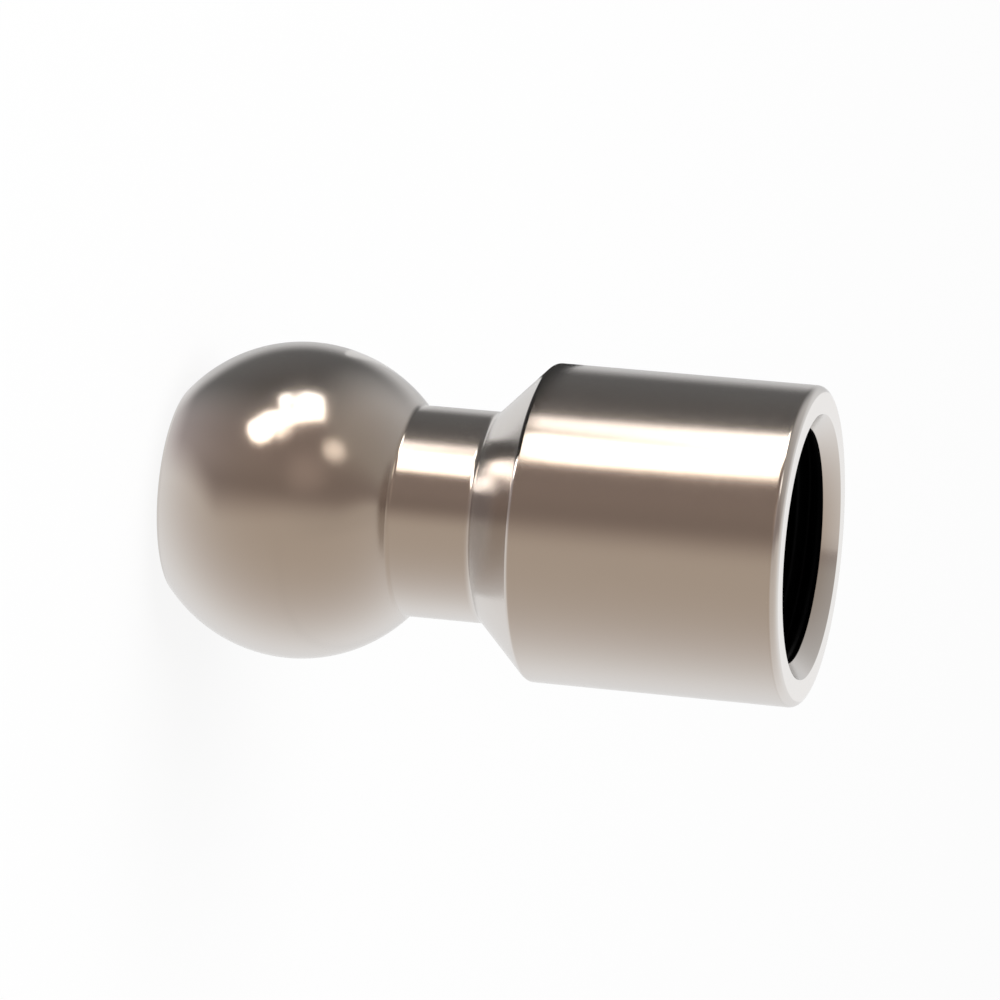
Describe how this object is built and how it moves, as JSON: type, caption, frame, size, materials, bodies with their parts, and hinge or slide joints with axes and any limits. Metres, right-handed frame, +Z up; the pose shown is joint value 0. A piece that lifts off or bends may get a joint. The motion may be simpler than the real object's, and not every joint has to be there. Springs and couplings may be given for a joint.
{
  "type": "threaded ball adapter",
  "caption": "Turned metal ball on a neck that widens through a cone into a round socket with an internal pipe thread.",
  "frame": {"origin": "middle of the ball's flat tip, which the part stands on", "axes": "+Z up the axis from the ball to the socket's mouth; the part is round about it, so +X and +Y are any two directions square to it"},
  "size_m": [0.0254, 0.0254, 0.0513],
  "materials": {
    "satin_metal": "satin, warm grey"
  },
  "bodies": {
    "root": {"ball_adapter": "satin_metal"}
  },
  "joints": []
}
